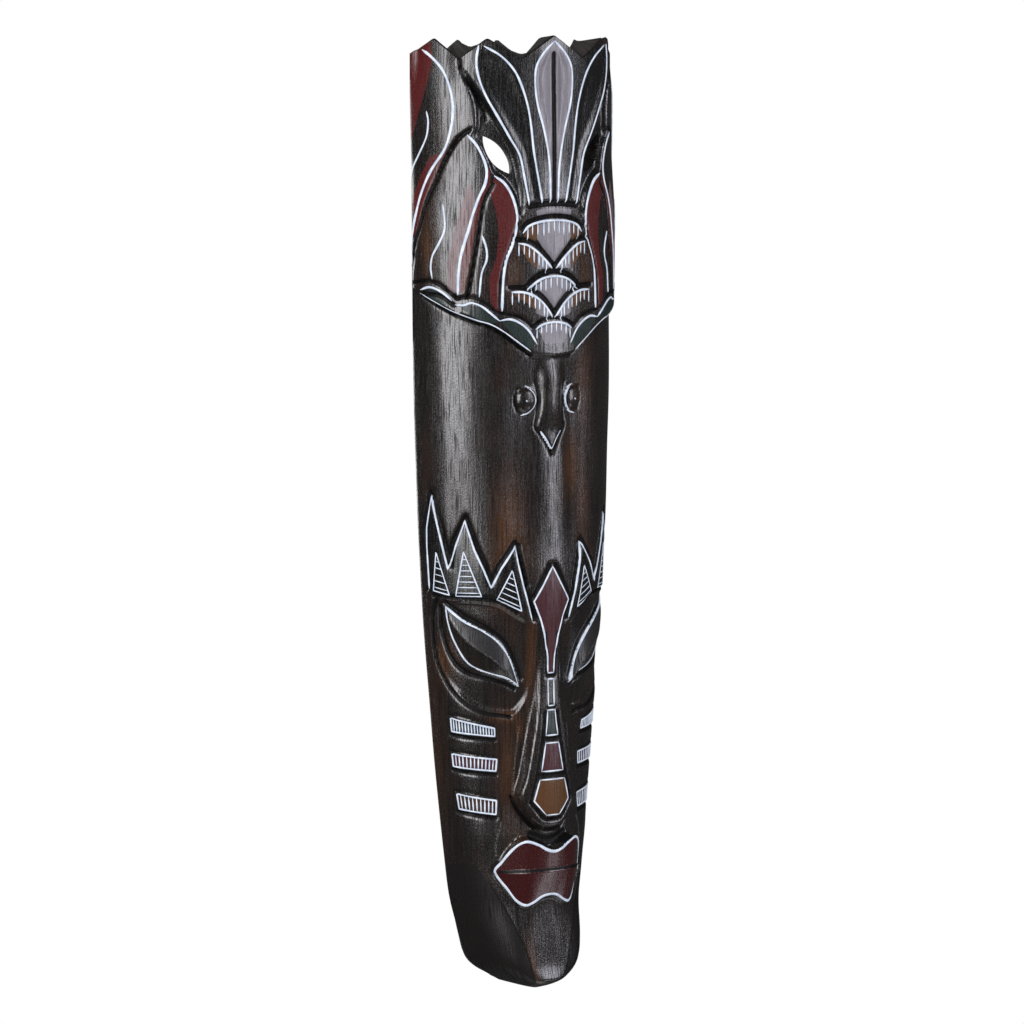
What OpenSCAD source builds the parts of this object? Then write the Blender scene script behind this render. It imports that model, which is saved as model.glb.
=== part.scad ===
// A tall carved wooden wall mask. It is one hollowed billet with a flame and leaf crown, a bird on
// the forehead, two almond piercings, slanted eyes, a long nose, full lips and a tapering chin.
// A steel strap with a swinging D-ring is screwed into the hollow, so the mask hangs on a wall hook.
// Frame: +X to the viewer's right, +Y towards the wall, +Z up. The origin is the hook point: it lies
// on the wall plane, at the height where the raised ring rests on the wall's hook.

/* [Mask] */
// Height from the chin to the middle point of the crown
mask_h = 500; // [470:5:530]
// Depth from the wall plane to the front
mask_d = 45; // [43:1:50]
// Half of the greatest width, at the crown
half_w = 61; // [58:1:66]
// Wall thickness behind the middle of the face
wall = 12; // [11:1:14]
// Width of the back rim on each side, at the crown
rim_w = 20; // [16:1:22]
// Depth of the crown's zig-zag cuts
crown_cut = 12; // [6:1:20]
// Length of an almond piercing from tip to tip
pierce_l = 24; // [16:1:28]
// Width of an almond piercing
pierce_w = 8.6; // [6:0.2:11]

/* [Hanger] */
// Height of the hook point above the chin
hang_h = 420; // [410:1:425]
// Diameter of the ring's wire
wire_d = 2.6; // [2.2:0.1:3]
// Distance between the ring's two legs, centre to centre
ring_w = 20; // [18:1:24]
// Length of the strap below the hinge
strap_l = 42; // [40:1:48]
// Width of the strap
strap_w = 13; // [10:0.5:14]
// Thickness of the strap
strap_t = 1.2; // [1:0.1:1.5]
// Running clearance around the ring's pin
pin_gap = 0.05; // [0.02:0.01:0.1]
// Diameter of the screws' shanks
screw_d = 3; // [2.5:0.1:3.5]
// Length of the screws in the wood
screw_l = 8.5; // [6:0.5:9]

/* [Hidden] */
$fn = 48;
columns = 40;                  // strips across the front, rim to rim
rows = 78;                     // courses from the chin to the crown
hollow_rows = 13;              // courses of the hollow's wall, a divisor of rows
nominal = [61, 45, 500];       // half-width, depth and height that the carving is laid out for
sx = half_w / nominal[0];
sy = mask_d / nominal[1];
sz = mask_h / nominal[2];
hollow_floor = 42;             // where the hollow starts above the chin
hollow_full = 105;             // where it reaches its full depth
seat_y = -(mask_d - wall);     // the flat band in the hollow that the strap lies on
leg = 7;                       // straight part of the ring's legs
wire_r = wire_d / 2;
ring_drop = leg + ring_w / 2;  // hinge axis to the middle of the bow
axis_z = -(ring_drop - wire_r);
axis_y = seat_y + strap_t + 2.2;
eye_r = wire_r + pin_gap + strap_t;
screw_drops = [23, 36];        // the two screws' distances below the hinge axis
head_r = 3.2;
head_h = 1.9;

// Half-width of the outline at a height above the chin, and the width of the back rim there
outline = [[0, 5], [2, 8.5], [5, 13.5], [9, 20.2], [13, 24.7], [18, 27.8], [25, 30.4], [34, 33.2], [47, 36.4],
           [72, 40.2], [100, 43.5], [150, 48.1], [200, 52.7], [255, 56.2], [300, 58.6], [340, 59.4],
           [440, 60.2], [465, 60.9], [500, 61]];
function half_at(z) = lookup(z, outline);
function rim_at(z) = rim_w * (0.7 + 0.3 * z / nominal[2]);

// The front's cross-section is a half ellipse at power 2, and squarer above that
side_power = 2.06;
foot_power = 3.5;

// Smooth step from 0 to 1 as x goes from a to b, and a smooth bump of half-width w about c
function clamp01(x) = min(1, max(0, x));
function ease(t) = t * t * (3 - 2 * t);
function step(a, b, x) = ease(clamp01((x - a) / (b - a)));
function bump(c, w, x) = 1 - step(0, w, abs(x - c));

// Arc length from the centre line to parameter angle a on the front's half ellipse
function arc(w, a, n = 12) =
    let (d = a / n, list = [for (i = [0.5 : n]) norm([w * cos(i * d), nominal[1] * sin(i * d)])])
    (list * [for (i = [1 : n]) 1]) * d * PI / 180;

// Height of the crown's zig-zag edge at arc distance s from the centre line
crown_line = [[0, 0], [20, 1], [38, 0.1], [53, 1], [68, 0.1], [84, 0.8]];
function crown_edge(s) = nominal[2] - crown_cut * lookup(abs(s), crown_line);

// How far the carving lies below the smooth front at arc distance t and height z, part by part
garland_z = [[0, 340], [12, 340], [32, 352], [50, 360], [74, 367]];
function forehead(t, z) =
    1.8 * step(0, 5, lookup(t, garland_z) - z) * (1 - step(66, 76, t)) * step(232, 262, z)
    + 2 * bump(15, 14, t) * step(215, 240, z) * (1 - step(280, 300, z));
function bird(t, z) =
    2.4 * bump(15.5, 15, t) * bump(312, 18, z) - 2.6 * max(0, 1 - norm([t - 15.5, z - 312]) / 8)
    - 1.5 * (1 - step(4, 9, t)) * step(283, 297, z) * (1 - step(322, 340, z))
    + 3 * (1 - step(2, 8, t)) * step(276, 285, z) * (1 - step(284, 290, z));
function crown_field(t, z) =
    2.5 * bump(32, 17, t) * bump(439, 26, z) + 1.2 * bump(17, 6, t) * step(395, 412, z) * (1 - step(450, 480, z));
socket_top = [[0, 170], [6, 187], [12, 195], [21, 201], [31, 207], [56, 209], [69, 205]];
socket_low = [[0, 120], [20, 140], [26, 145], [38, 148], [54, 157], [64, 172], [69, 200]];
function socket(t, z) =
    let (in_top = step(0, 5, lookup(t, socket_top) - z), in_low = step(0, 5, z - lookup(t, socket_low)))
    3.6 * in_top * in_low * (1 - step(60, 69, t)) * step(6, 16, t)
    - 3 * max(0, 1 - norm([(t - 41) * 0.8 + (z - 184) * 0.44, (z - 184) * 0.8 - (t - 41) * 0.62]) / 17);
function nose_half(z) = lookup(z, [[86, 19], [100, 22], [150, 13], [200, 8]]);
function beside_nose(t, z) =
    let (w = nose_half(z))
    8 * step(w * 0.45, w, t) * (1 - step(w, w + 40, t)) * step(60, 84, z) * (1 - step(146, 200, z));
function below_nose(t, z) =
    7 * (1 - step(14, 30, t)) * step(76, 80, z) * (1 - step(82, 88, z));
function lips(t, z) =
    let (high = lookup(t, [[0, 75], [15, 80], [25, 75], [33, 63]]),
         low = lookup(t, [[0, 52], [15, 46], [26, 54], [33, 62]]),
         inside = step(-2, 2, high - z) * step(-2, 2, z - low) * (1 - step(31, 35, t)))
    -3.5 * inside + 5.5 * (1 - abs(z - 64.5) / 20) * inside + 2 * (1 - step(30, 46, t)) * bump(63, 26, z);
foot_round = 12;
function chin(t, z) =
    let (edge = lookup(z, [[0, 8], [10, 10], [45, 26], [60, 34]]))
    8.5 * (1 - step(36, 56, z)) * (1 - step(edge - 1, edge + 12, t))
    + foot_round * (1 - step(0, 6, z));
function carved(t, z) =
    forehead(t, z) + bird(t, z) + crown_field(t, z) + socket(t, z)
    + beside_nose(t, z) + below_nose(t, z) + lips(t, z) + chin(t, z);

// One point of the carved front, at parameter angle a and height fraction f. The carving cuts
// square to the surface, except near the foot, where it cuts straight towards the wall.
function front_point(a, f) =
    let (z = crown_edge(arc(half_at(490), abs(a))) * f, w = half_at(z),
         p = side_power + (foot_power - side_power) * (1 - step(6, 50, z)),
         across = sin(abs(a)), ahead = pow(max(0, 1 - pow(across, p)), 1 / p),
         square = [sign(a) * pow(across, p - 1) / w, -pow(ahead, p - 1) / nominal[1]],
         cut = square / norm(square) * step(30, 80, z) + [0, -1] * (1 - step(30, 80, z)),
         k = abs(a) > 89 ? 0 : min(carved(arc(w, abs(a)), z), 0.6 * nominal[1] * ahead))
    [(w * sin(a) - cut[0] * k) * sx, (-nominal[1] * ahead - cut[1] * k) * sy, z * sz - hang_h];

// One point of the hollow: a half ellipse with a flat band down its middle
function hollow_point(a, f) =
    let (z = hollow_floor + (crown_edge(arc(half_at(490), abs(a))) - hollow_floor) * f,
         w = half_at(z) * sx - rim_at(z),
         d = (mask_d - wall) * (0.45 + 0.55 * step(hollow_floor, hollow_full, z)))
    [w * sin(a), -min(d, (d + 1.2) * cos(a)), z * sz - hang_h];

function angle(i) = -90 + 180 * i / columns;
function front_id(i, j) = i * (rows + 1) + j;
function hollow_id(i, k) = (columns + 1) * (rows + 1) + i * (hollow_rows + 1) + k;
hub = (columns + 1) * (rows + hollow_rows + 2);
span = rows / hollow_rows;     // front courses beside each course of the hollow
function two(a, b, c, d) = [[a, b, c], [a, c, d]];
function fan(centre, ids) = [for (i = [0 : len(ids) - 2]) [centre, ids[i], ids[i + 1]]];
function turned(faces) = [for (f = faces) [f[2], f[1], f[0]]];

// The back rim between the front's edge column and the hollow's edge column, above the foot
function rim_side(i) = [for (k = [1 : hollow_rows])
    each concat(fan(hollow_id(i, k), [for (j = [span * (k - 1) : span * k]) if (j >= span) front_id(i, j)]),
                [[hollow_id(i, k), hollow_id(i, k - 1), front_id(i, max(span, span * (k - 1)))]])];

module billet() {
    points = concat(
        [for (i = [0 : columns], j = [0 : rows]) front_point(angle(i), j / rows)],
        [for (i = [0 : columns], k = [0 : hollow_rows]) hollow_point(angle(i), k / hollow_rows)],
        [[0, -mask_d / 2, -hang_h], [0, seat_y / 4, hollow_floor * sz - hang_h],
         [0, 0, hollow_floor * sz / 2 - hang_h]]);
    front = [for (i = [0 : columns - 1], j = [0 : rows - 1])
        each two(front_id(i, j), front_id(i, j + 1), front_id(i + 1, j + 1), front_id(i + 1, j))];
    inside = [for (i = [0 : columns - 1], k = [0 : hollow_rows - 1])
        each two(hollow_id(i, k), hollow_id(i + 1, k), hollow_id(i + 1, k + 1), hollow_id(i, k + 1))];
    crown = [for (i = [0 : columns - 1])
        each two(front_id(i, rows), hollow_id(i, hollow_rows),
                 hollow_id(i + 1, hollow_rows), front_id(i + 1, rows))];
    foot = fan(hub, [each [for (i = [0 : columns]) front_id(i, 0)], front_id(0, 0)]);
    floor_face = fan(hub + 1, [hollow_id(0, 0), each [for (i = [columns : -1 : 0]) hollow_id(i, 0)]]);
    back_of_foot = fan(hub + 2, [each [for (j = [span : -1 : 0]) front_id(0, j)],
                                 each [for (j = [0 : span]) front_id(columns, j)],
                                 hollow_id(columns, 0), hollow_id(0, 0), front_id(0, span)]);
    polyhedron(points, concat(front, inside, crown, foot, floor_face, back_of_foot,
                              rim_side(columns), turned(rim_side(0))), convexity = 10);
}

// An almond-shaped hole through the crown, square to the surface
module piercing() {
    r = (pierce_l * pierce_l + pierce_w * pierce_w) / (4 * pierce_w);
    translate([29.5 * sx, -38.5 * sy, 439 * sz - hang_h])
        rotate([90, 0, 25])
            rotate([0, 0, -35])
                intersection() {
                    translate([r - pierce_w / 2, 0, -30]) cylinder(r = r, h = 60);
                    translate([pierce_w / 2 - r, 0, -30]) cylinder(r = r, h = 60);
                }
}

module mask_body() {
    color("#2b2321")
        difference() {
            billet();
            piercing();
            mirror([1, 0, 0]) piercing();
            for (drop = screw_drops)
                translate([0, seat_y, axis_z - drop])
                    rotate([90, 0, 0])
                        translate([0, 0, -1]) cylinder(d = screw_d, h = screw_l + 1);
        }
}

// A bent steel strap: a plate with two screw holes under a rolled eye for the ring's pin
module hanger_strap() {
    color("#b8bcc0")
        difference() {
            union() {
                translate([-strap_w / 2, seat_y, axis_z - strap_l + strap_w / 2])
                    cube([strap_w, strap_t, strap_l - strap_w / 2]);
                translate([0, seat_y + strap_t, axis_z - strap_l + strap_w / 2])
                    rotate([90, 0, 0]) cylinder(d = strap_w, h = strap_t);
                translate([-strap_w / 2, seat_y, axis_z - eye_r])
                    cube([strap_w, axis_y - seat_y, 2 * strap_t]);
                translate([-strap_w / 2, axis_y, axis_z])
                    rotate([0, 90, 0]) cylinder(r = eye_r, h = strap_w);
            }
            translate([-strap_w, axis_y, axis_z])
                rotate([0, 90, 0]) cylinder(r = wire_r + pin_gap, h = 2 * strap_w);
            for (drop = screw_drops)
                translate([0, seat_y + 5, axis_z - drop])
                    rotate([90, 0, 0]) cylinder(d = screw_d + 0.5, h = 10);
        }
}

// A D-ring of round wire: a straight pin, two legs and a half-round bow, hanging from its pin
module hanger_ring() {
    color("#c6c9cc")
        translate([0, axis_y, axis_z]) {
            translate([-ring_w / 2, 0, 0]) rotate([0, 90, 0]) cylinder(r = wire_r, h = ring_w);
            for (side = [-1, 1])
                translate([side * ring_w / 2, 0, 0]) {
                    sphere(r = wire_r);
                    translate([0, 0, -leg]) cylinder(r = wire_r, h = leg);
                }
            translate([0, 0, -leg])
                rotate([90, 0, 0])
                    rotate([0, 0, 180])
                        rotate_extrude(angle = 180) translate([ring_w / 2, 0]) circle(r = wire_r);
        }
}

// A pan-head wood screw with a straight slot, its head on the strap
module strap_screw(drop) {
    color("#d6c48a")
        translate([0, seat_y, axis_z - drop])
            rotate([90, 0, 0]) {
                difference() {
                    translate([0, 0, -strap_t - head_h]) cylinder(r1 = head_r - 0.6, r2 = head_r, h = head_h);
                    translate([-head_r, -0.4, -strap_t - head_h - 1]) cube([2 * head_r, 0.8, 1.9]);
                }
                translate([0, 0, -strap_t]) cylinder(d = screw_d, h = strap_t + screw_l - 3);
                translate([0, 0, screw_l - 3]) cylinder(d1 = screw_d, d2 = 0.4, h = 2.8);
            }
}

module strap_screw_upper() { strap_screw(screw_drops[0]); }
module strap_screw_lower() { strap_screw(screw_drops[1]); }

mask_body();
hanger_strap();
hanger_ring();
strap_screw_upper();
strap_screw_lower();
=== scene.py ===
import math

import bmesh
import bpy
import numpy as np
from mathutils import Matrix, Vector, kdtree


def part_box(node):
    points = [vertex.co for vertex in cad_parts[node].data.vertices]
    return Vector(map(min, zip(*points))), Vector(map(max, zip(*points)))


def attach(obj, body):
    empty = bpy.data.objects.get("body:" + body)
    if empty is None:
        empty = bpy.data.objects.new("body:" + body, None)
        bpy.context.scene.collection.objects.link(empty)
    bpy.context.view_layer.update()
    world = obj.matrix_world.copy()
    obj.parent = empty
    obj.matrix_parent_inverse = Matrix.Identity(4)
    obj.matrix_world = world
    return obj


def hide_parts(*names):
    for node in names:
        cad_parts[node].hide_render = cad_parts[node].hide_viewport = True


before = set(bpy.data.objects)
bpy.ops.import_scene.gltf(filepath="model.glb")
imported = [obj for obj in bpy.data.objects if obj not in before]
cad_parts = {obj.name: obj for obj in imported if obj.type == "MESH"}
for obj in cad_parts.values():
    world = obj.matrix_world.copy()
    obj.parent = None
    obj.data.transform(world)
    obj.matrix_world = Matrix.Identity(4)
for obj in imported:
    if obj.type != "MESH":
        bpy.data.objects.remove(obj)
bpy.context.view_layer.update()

# The carving is laid out in millimetres on the unrolled front: s runs round the surface from the
# centre line, positive to the viewer's right, and z runs up from the chin. Shapes that come in
# pairs are given for the left side, where s is negative, and are mirrored.
LOW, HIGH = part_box("mask_body")
MM = 0.001
HEIGHT = (HIGH[2] - LOW[2]) / MM
DEPTH = (HIGH[1] - LOW[1]) / MM
RIM_W = 20.0
WALL = 12.0
HOLLOW_FLOOR, HOLLOW_FULL = 42.0, 105.0

OUTLINE = [(0, 4), (2, 7.6), (5, 13.9), (9, 20.9), (13, 25.6), (18, 28.6), (25, 30.8), (34, 33.2), (47, 36.4),
           (72, 40.2), (100, 43.9), (150, 49), (200, 53.5), (255, 56.7), (300, 58.6), (340, 59.4), (440, 60.2),
           (465, 60.9), (500, 61)]
CROWN_EDGE = [(0, 500), (19.5, 488), (38, 498.5), (53, 488), (68, 498.5), (84, 490)]


# ---------------------------------------------------------------- curves and distances

def along(points, x):
    """Smooth height of a curve through given points at x."""
    p = np.array(points, float)
    slope = np.gradient(p[:, 1], p[:, 0])
    k = np.clip(np.searchsorted(p[:, 0], x) - 1, 0, len(p) - 2)
    span = p[k + 1, 0] - p[k, 0]
    t = np.clip((x - p[k, 0]) / span, 0, 1)
    a, b = 2 * t ** 3 - 3 * t ** 2 + 1, t ** 3 - 2 * t ** 2 + t
    return a * p[k, 1] + b * span * slope[k] + (1 - a) * p[k + 1, 1] + (t ** 3 - t ** 2) * span * slope[k + 1]


def spline(points, step=0.8, closed=False, straight=False):
    """A Catmull-Rom curve, or straight runs, through (s, z) points, as an array of close points."""
    p = np.array(points, float)
    if closed:
        p = np.vstack([p[-1:], p, p[:2]]) if not straight else np.vstack([p, p[:1]])
    elif not straight:
        p = np.vstack([2 * p[0] - p[1], p, 2 * p[-1] - p[-2]])
    out = []
    runs = zip(p[:-1], p[1:]) if straight else zip(p[:-3], p[1:-2], p[2:-1], p[3:])
    for run in runs:
        a, b = (run[0], run[1]) if straight else (run[1], run[2])
        n = max(1, int(np.linalg.norm(b - a) / step))
        t = np.arange(n)[:, None] / n
        if straight:
            out.append(a + (b - a) * t)
        else:
            m0, m1 = (run[2] - run[0]) / 2, (run[3] - run[1]) / 2
            out.append((2 * t ** 3 - 3 * t ** 2 + 1) * a + (t ** 3 - 2 * t ** 2 + t) * m0
                       + (3 * t ** 2 - 2 * t ** 3) * b + (t ** 3 - t ** 2) * m1)
    last = p[-1] if straight else p[-2]
    return np.vstack(out + [last[None]])


def mirrored(points):
    return [(-s, z) for s, z in points]


def smooth(low, high, x):
    t = np.clip((x - low) / (high - low), 0, 1)
    return t * t * (3 - 2 * t)


FAR = 60.0


def distance(s, z, path, reach=14.0):
    """Distance from each (s, z) to a polyline, or FAR beyond its reach."""
    out = np.full(s.shape, FAR)
    low, high = path.min(0) - reach, path.max(0) + reach
    near = np.nonzero((s > low[0]) & (s < high[0]) & (z > low[1]) & (z < high[1]))[0]
    if not len(near):
        return out
    q = np.stack([s[near], z[near]], -1)
    best = np.full(len(near), FAR ** 2)
    for a, b in zip(path[:-1], path[1:]):
        d = b - a
        t = np.clip(((q - a) @ d) / max(d @ d, 1e-9), 0, 1)
        best = np.minimum(best, ((q - a - t[:, None] * d) ** 2).sum(1))
    out[near] = np.sqrt(best)
    return out


def signed(s, z, path, reach=14.0):
    """Distance to a closed outline, positive inside it."""
    far = distance(s, z, path, reach)
    within = np.zeros(s.shape, bool)
    low, high = path.min(0), path.max(0)
    near = np.nonzero((s > low[0]) & (s < high[0]) & (z > low[1]) & (z < high[1]))[0]
    x, y = s[near], z[near]
    odd = np.zeros(len(near), bool)
    for (x0, y0), (x1, y1) in zip(path, np.roll(path, -1, 0)):
        if y0 != y1:
            odd ^= ((y0 > y) != (y1 > y)) & (x < x0 + (y - y0) * (x1 - x0) / (y1 - y0))
    within[near] = odd
    return np.where(within, far, -far)


# ---------------------------------------------------------------- the drawn design

def both(paths):
    """Each path of a pair, left and right."""
    return [side for path in paths for side in (path, mirrored(path))]


FLAME_A = [(-75.5, 493), (-69.5, 489.5), (-62.5, 483), (-58, 474), (-56, 464), (-57, 453), (-60.5, 442),
           (-68, 431), (-73, 420), (-76, 410), (-78.5, 400), (-80.5, 391), (-81.5, 381)]
FLAME_B = [(-48.5, 449.5), (-43.5, 444), (-39.5, 436), (-38.3, 430), (-39.3, 424), (-42.5, 417),
           (-45.3, 409), (-47.5, 401), (-51, 389), (-52.6, 379), (-53, 367)]
FLAME_C = [(-34.5, 428.5), (-28.5, 424), (-24, 416), (-22, 407), (-22.8, 399), (-25, 392), (-28, 385),
           (-29.6, 375), (-30.3, 358.5)]
WISP_A = [(-71, 461.5), (-70, 456), (-71.2, 448), (-76, 439), (-80.5, 431.5), (-81.5, 427)]
WISP_B = [(-60.8, 414), (-59.8, 406), (-60, 400), (-62.5, 394), (-66.3, 387), (-67.3, 381), (-66.5, 375)]
WISP_C = [(-40.8, 398), (-38.6, 391), (-38.5, 385), (-41, 378), (-42.2, 366)]
LEAF_OUT = [(-42.5, 495.5), (-43.7, 488), (-42.8, 480), (-39, 470), (-32.6, 459), (-26, 448), (-20.6, 439),
            (-18, 428), (-15, 413)]
LEAF_IN = [(-39.8, 495), (-31, 490), (-24, 483), (-19.7, 475), (-16, 464), (-14, 453), (-12.6, 441),
           (-10.4, 429), (-7.4, 414)]
MIDDLE_LEAF = [(0, 497.5), (-6.5, 491.5), (-10.8, 485), (-11.8, 477), (-10.6, 466), (-6.6, 452),
               (-4, 440), (-2.8, 429), (-2.4, 414)]
SCALE_1 = [(-18.8, 398.6), (-15, 402.4), (-8, 404.4), (0, 404.9), (8, 404.4), (15, 402.4), (18.8, 398.6)]
SCALE_2 = [(-21.5, 393.5), (-16, 392.3), (-10.6, 389), (-6, 385), (-1.2, 380)]
SCALE_3 = [(-16, 369), (-11.5, 372.8), (-6.3, 375.2), (0, 376), (6.3, 375.2), (11.5, 372.8), (16, 369)]
SCALE_4 = [(-25.2, 368.3), (-18, 368), (-11.7, 365.7), (-6.3, 361.7), (-0.6, 354.5)]
SCALE_5 = [(-11.5, 348.6), (-8, 350.8), (-2.8, 352), (2.8, 352), (8, 350.8), (11.5, 348.6)]
GARLAND_1 = [(-73.4, 369.3), (-67.7, 370.8), (-61.4, 368.4), (-56, 364)]
GARLAND_2 = [(-54.5, 362), (-50, 361.8), (-46.3, 363), (-41, 361.2), (-35.7, 357), (-31.7, 353.6)]
GARLAND_3 = [(-31.7, 353.6), (-26, 354.3), (-20.6, 352.3), (-15.2, 348), (-10.6, 341)]
GARLAND_LOW = [(-74, 367.5), (-65, 363), (-56, 358.6), (-43.7, 354), (-36.6, 352), (-29.4, 348), (-22.3, 343),
               (-14.3, 337.4)]
BIRD_EYE = [(-15.8, 319.3), (-11.9, 317), (-9.6, 313), (-10.3, 308.7), (-13.4, 305.4), (-18.3, 303.8)]
BEAK = [(-6.6, 295.3), (-3.2, 290.5), (0, 286.2), (3.2, 290.5), (6.6, 295.3)]
ZIGZAG = [(-70.6, 213), (-72, 236), (-72, 245), (-69.4, 262), (-65, 246), (-59, 224), (-54.5, 237), (-50, 249.6),
          (-44.6, 234), (-39.7, 224), (-35.5, 214.5), (-30, 224.6), (-21.8, 236), (-20.6, 227), (-17.6, 215),
          (-12.2, 197)]
TRIANGLE_1 = [(-66, 232.6), (-67.8, 212.3), (-58.2, 210.4)]
TRIANGLE_2 = [(-50.5, 233.4), (-54.6, 210), (-40.7, 210)]
TRIANGLE_3 = [(-24, 223.5), (-32.4, 208.2), (-18.6, 202)]
DIAMOND = [(0, 224.6), (-5.5, 215.5), (-11.3, 206.6), (-7.4, 198), (-4.6, 189), (-2.2, 177), (-1.9, 168.5)]
STRIP = [(-1.9, 165.3), (-1.9, 151.2)]
NECK = [(-2.4, 149), (-3.1, 142), (-4, 135.8)]
PLUM_BAND = [(-4.3, 131.7), (-5.6, 124.5), (-7, 117)]
LOZENGE = [(-8, 112.6), (-11.3, 101.6), (-4.2, 93.8)]
UPPER_LID = [(-61, 204.3), (-56, 200.4), (-50, 196.3), (-39, 191), (-30.3, 184.6), (-24, 175.7), (-18.6, 161.6)]
LOWER_LID = [(-61, 204.3), (-59.3, 195), (-56, 186), (-50, 176), (-43.7, 171.6), (-34.8, 168.6), (-26, 166.2),
             (-18.6, 161.6)]
EYE_RIDGE = [(-58.8, 198), (-50, 188), (-42.8, 182.3), (-34, 176.6), (-20.5, 164)]
LIPS = [(-33.5, 63.5), (-29.5, 69.3), (-24.6, 75), (-20, 79), (-15.3, 80.5), (-9.5, 78.6), (-4.6, 75.8),
        (0, 74.6), (4.6, 75.8), (9.5, 78.6), (15.3, 80.5), (20, 79), (24.6, 75), (29.5, 69.3), (33.5, 63.5),
        (25.5, 54.6), (20, 48.6), (15, 46.3), (10.5, 47.6), (5, 50.6), (0, 51.4), (-5, 50.6), (-10.5, 47.6),
        (-15, 46.3), (-20, 48.6), (-25.5, 54.6)]
# Each cheek ladder: outer top, outer bottom, inner bottom and inner top corners, and its rungs
LADDERS = [([(-58, 145.3), (-57.4, 138.2), (-33.6, 135.8), (-33.8, 140)], 15),
           ([(-57.4, 126.2), (-56.7, 119.6), (-33.2, 117.3), (-32.6, 123.4)], 12),
           ([(-54.8, 105), (-53.4, 97), (-33.2, 94.4), (-33, 101.6)], 10)]
SOCKET = [(-69.5, 203), (-67, 209), (-56, 208.8), (-42, 208.6), (-31, 206.6), (-20.8, 200.6), (-12, 195),
          (-7.5, 187), (-8.5, 172), (-12, 158), (-17, 150), (-22, 146.4), (-29.4, 146.8), (-38.3, 148),
          (-47.2, 151.7), (-54.3, 157.2), (-61.4, 165.2), (-66.8, 176), (-69.2, 188)]
NOSE = [(0, 218), (-8, 200), (-7.6, 184), (-9, 165), (-11, 148), (-14.5, 131), (-18, 115), (-21.5, 104.5),
        (-18.5, 96), (-13.5, 90), (-8, 86), (0, 84.6), (8, 86), (13.5, 90), (18.5, 96), (21.5, 104.5), (18, 115),
        (14.5, 131), (11, 148), (9, 165), (7.6, 184), (8, 200)]
BLACK_FIELD = [(-51, 483.5), (-45, 476), (-38.5, 466.5), (-30.5, 454), (-23.5, 442), (-20, 430), (-17.2, 415),
               (-19.2, 406.5), (-21, 409), (-24, 418.5), (-29, 425.5), (-35, 430), (-37.5, 436), (-41, 443),
               (-45.5, 448.5), (-44, 455), (-45, 466), (-49, 477)]
PIERCING_CENTRE = (-32, 439)

FLAME_AB = [(-47, 452), (-53.4, 447), (-60.6, 436), (-66, 424), (-70.3, 414), (-74, 402), (-77, 394), (-80, 379)]
FLAME_BC = [(-35, 424), (-40, 414), (-43.5, 392), (-48, 366.5)]
BRANCH = [(-53, 487.5), (-51.5, 481), (-46, 473), (-41, 465), (-38.5, 457)]
CHEEK_CREASE = [(-36, 58), (-30, 49.5), (-25, 42), (-19.5, 31), (-15, 20), (-12, 8)]

# V-cuts of the gouge: path, width and depth. Each is also near-black along its length, partly real black and partly
# painted shade in the groove
CUTS_PAIRED = [
    (FLAME_AB, 2.4, 1.3), (FLAME_BC, 2.2, 1.2), (BRANCH, 2.0, 1.0),
    ([(-21.5, 404), (-24.5, 395), (-28.5, 385), (-31.2, 374), (-31.8, 360)], 1.6, 0.8),
    ([(-23.5, 395.8), (-16, 394.8), (-9.6, 391.3), (-4.6, 386.5), (0, 381.5)], 2.6, 1.2),
    ([(-26, 370.8), (-18, 370.5), (-10.7, 368), (-5.2, 363.7), (0, 357.5)], 2.6, 1.2),
    ([(-83, 372), (-76, 373.2), (-68.6, 374.2), (-61.4, 371.4), (-53.4, 365.2)], 2.0, 1.0),
    ([(-53.4, 365.2), (-46.3, 366), (-40, 363.4), (-34, 358.6), (-28, 357), (-20, 355), (-13, 350)], 1.8, 0.9),
    ([(-74, 365.6), (-56, 356.8), (-43.7, 352.2), (-36, 350), (-29, 346), (-21.6, 341), (-13, 335)], 1.8, 0.9),
    ([(-72, 367.5), (-62, 366.3), (-55, 361.5)], 2.4, 0.8),
    ([(-9, 296.6), (-4.4, 291), (0, 283.8)], 2.2, 1.2),
    ([(-20.5, 318), (-22, 312), (-20.5, 306)], 1.4, 0.6),
    ([(-9.4, 322), (-7.6, 313), (-8.4, 304), (-9.6, 298)], 2.0, 0.9),
    ([(-68, 209.8), (-56, 209), (-42, 208.8), (-31, 207), (-20.6, 201)], 2.2, 1.1),
    ([(-66.5, 207.5), (-69.2, 200), (-69.2, 188), (-67, 175.7), (-61.4, 165), (-54.3, 157), (-47.2, 151.7),
      (-38.3, 148), (-29.4, 146.6), (-24, 145.6)], 2.2, 1.1),
    ([(-64.5, 204), (-63.8, 193), (-61, 183), (-55.5, 174), (-48, 169), (-36, 166), (-26, 163), (-21.5, 160.5)],
     2.6, 1.1),
    ([(-61, 206.3), (-49, 198.6), (-38, 193.2), (-28.6, 186.4), (-21.8, 176.5), (-17.5, 166)], 2.6, 1.1),
    (CHEEK_CREASE, 1.1, 0.25),
    ([(-24, 103.5), (-20.5, 97), (-15, 91), (-9.5, 86)], 2.2, 0.9),
    ([(-3.5, 190), (-2.9, 168)], 1.2, 0.4),
    ([(-4.2, 148), (-6, 134), (-9.6, 115), (-13.4, 101)], 2.0, 0.7),
    ([(-13.2, 100.6), (-9.2, 96), (-5, 91.8), (0, 91.6)], 2.2, 1.0),
]
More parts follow.
